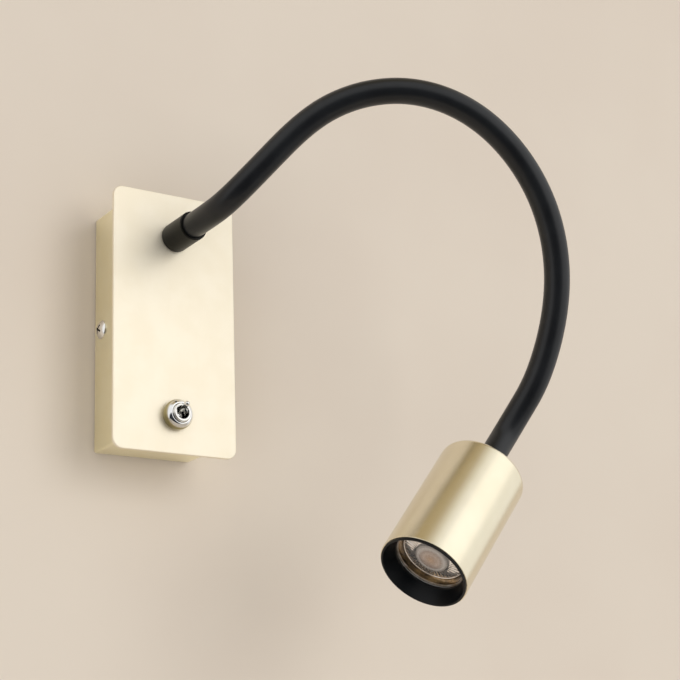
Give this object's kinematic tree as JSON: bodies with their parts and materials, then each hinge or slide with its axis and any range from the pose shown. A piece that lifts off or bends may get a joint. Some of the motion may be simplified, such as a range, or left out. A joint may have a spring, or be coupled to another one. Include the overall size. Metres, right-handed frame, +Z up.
{
  "type": "bedside wall reading lamp",
  "caption": "Wall reading lamp: an oblong wall box with a toggle switch, a flexible arm curving up and over, and a cylindrical spot head with a recessed reflector lamp.",
  "frame": {"origin": "on the wall plane, midway between the two wall screws, behind the middle of the wall box", "axes": "+X to the right along the wall, +Y into the wall so the room is at -Y, +Z up"},
  "size_m": [0.2385, 0.2116, 0.32],
  "materials": {
    "satin_brass": "fine brushed, satin lacquer, champagne tone",
    "black_metal": "satin black powder coat",
    "black_rubber": "matt black sleeve",
    "spring_steel": "wound spring steel",
    "zinc_steel": "bright zinc plating",
    "chrome_plate": "polished chrome plating",
    "white_nylon": "moulded nylon",
    "dark_phenolic": "moulded phenolic",
    "tinned_brass": "tinned",
    "black_pvc": "flexible PVC jacket",
    "blue_pvc": "flexible PVC insulation",
    "brown_pvc": "flexible PVC insulation",
    "earth_pvc": "green and yellow PVC insulation",
    "steatite": "glazed ceramic",
    "lamp_white": "gloss white moulding",
    "board_white": "white solder resist",
    "phosphor": "yellow phosphor, unlit",
    "clear_lens": "clear moulded optic"
  },
  "bodies": {
    "root": {"wall_bracket": "zinc_steel", "cable_grommet": "black_rubber", "terminal_block": "white_nylon", "terminal_screws": "zinc_steel", "block_screw": "zinc_steel", "earth_lug": "tinned_brass", "earth_screw": "zinc_steel", "cover_box": "satin_brass", "front_plate": "satin_brass", "side_screws": "chrome_plate", "neck_collar": "black_metal", "neck_washer": "zinc_steel", "neck_nut": "zinc_steel", "base_fitting": "zinc_steel", "switch_bushing": "chrome_plate", "switch_body": "dark_phenolic", "switch_tags": "tinned_brass", "switch_washer": "zinc_steel", "switch_back_nut": "zinc_steel", "dress_nut": "chrome_plate", "neutral_lead": "blue_pvc", "switched_lead": "brown_pvc", "supply_lead": "brown_pvc", "earth_lead": "earth_pvc"},
    "toggle": {"toggle_lever": "chrome_plate"},
    "arm_rise": {"neck_spine": "spring_steel"},
    "arm_fall": {"neck_sleeve": "black_rubber"},
    "lamp_head": {"neck_cable": "black_pvc", "head_shell": "satin_brass", "head_fitting": "zinc_steel", "holder_hanger": "zinc_steel", "head_washer": "zinc_steel", "head_nut": "zinc_steel", "lamp_holder": "steatite", "holder_screws": "zinc_steel", "head_leads": "brown_pvc", "baffle_ring": "black_metal"},
    "bulb": {"lamp_body": "lamp_white", "lamp_pins": "zinc_steel", "lamp_board": "board_white", "lamp_emitter": "phosphor", "lamp_lens": "clear_lens"}
  },
  "joints": [
    {"name": "toggle_flip", "type": "hinge", "parent": "root", "child": "toggle", "pos_m": [0, -0.047, -0.061], "axis": [1, 0, 0], "range_deg": [0, 30]},
    {"name": "arm_swing", "type": "hinge", "parent": "root", "child": "arm_rise", "pos_m": [0.0247, -0.14, 0.0883], "axis": [0, 0, 1], "range_deg": [-60, 15], "deforming": ["neck_spine"]},
    {"name": "arch_bend", "type": "hinge", "parent": "arm_rise", "child": "arm_fall", "pos_m": [0.1514, -0.2022, 0.0905], "axis": [0, -1, 0], "range_deg": [-30, 35], "deforming": ["neck_sleeve"]},
    {"name": "head_tilt", "type": "hinge", "parent": "arm_fall", "child": "lamp_head", "pos_m": [0.1847, -0.1798, -0.0386], "axis": [-1, 0, 0], "range_deg": [-35, 40], "deforming": ["neck_cable"]},
    {"name": "lamp_twist", "type": "hinge", "parent": "lamp_head", "child": "bulb", "pos_m": [0.1465, -0.162, -0.1074], "axis": [-0.6447, -0.1235, -0.7544], "range_deg": [0, 20]}
  ]
}
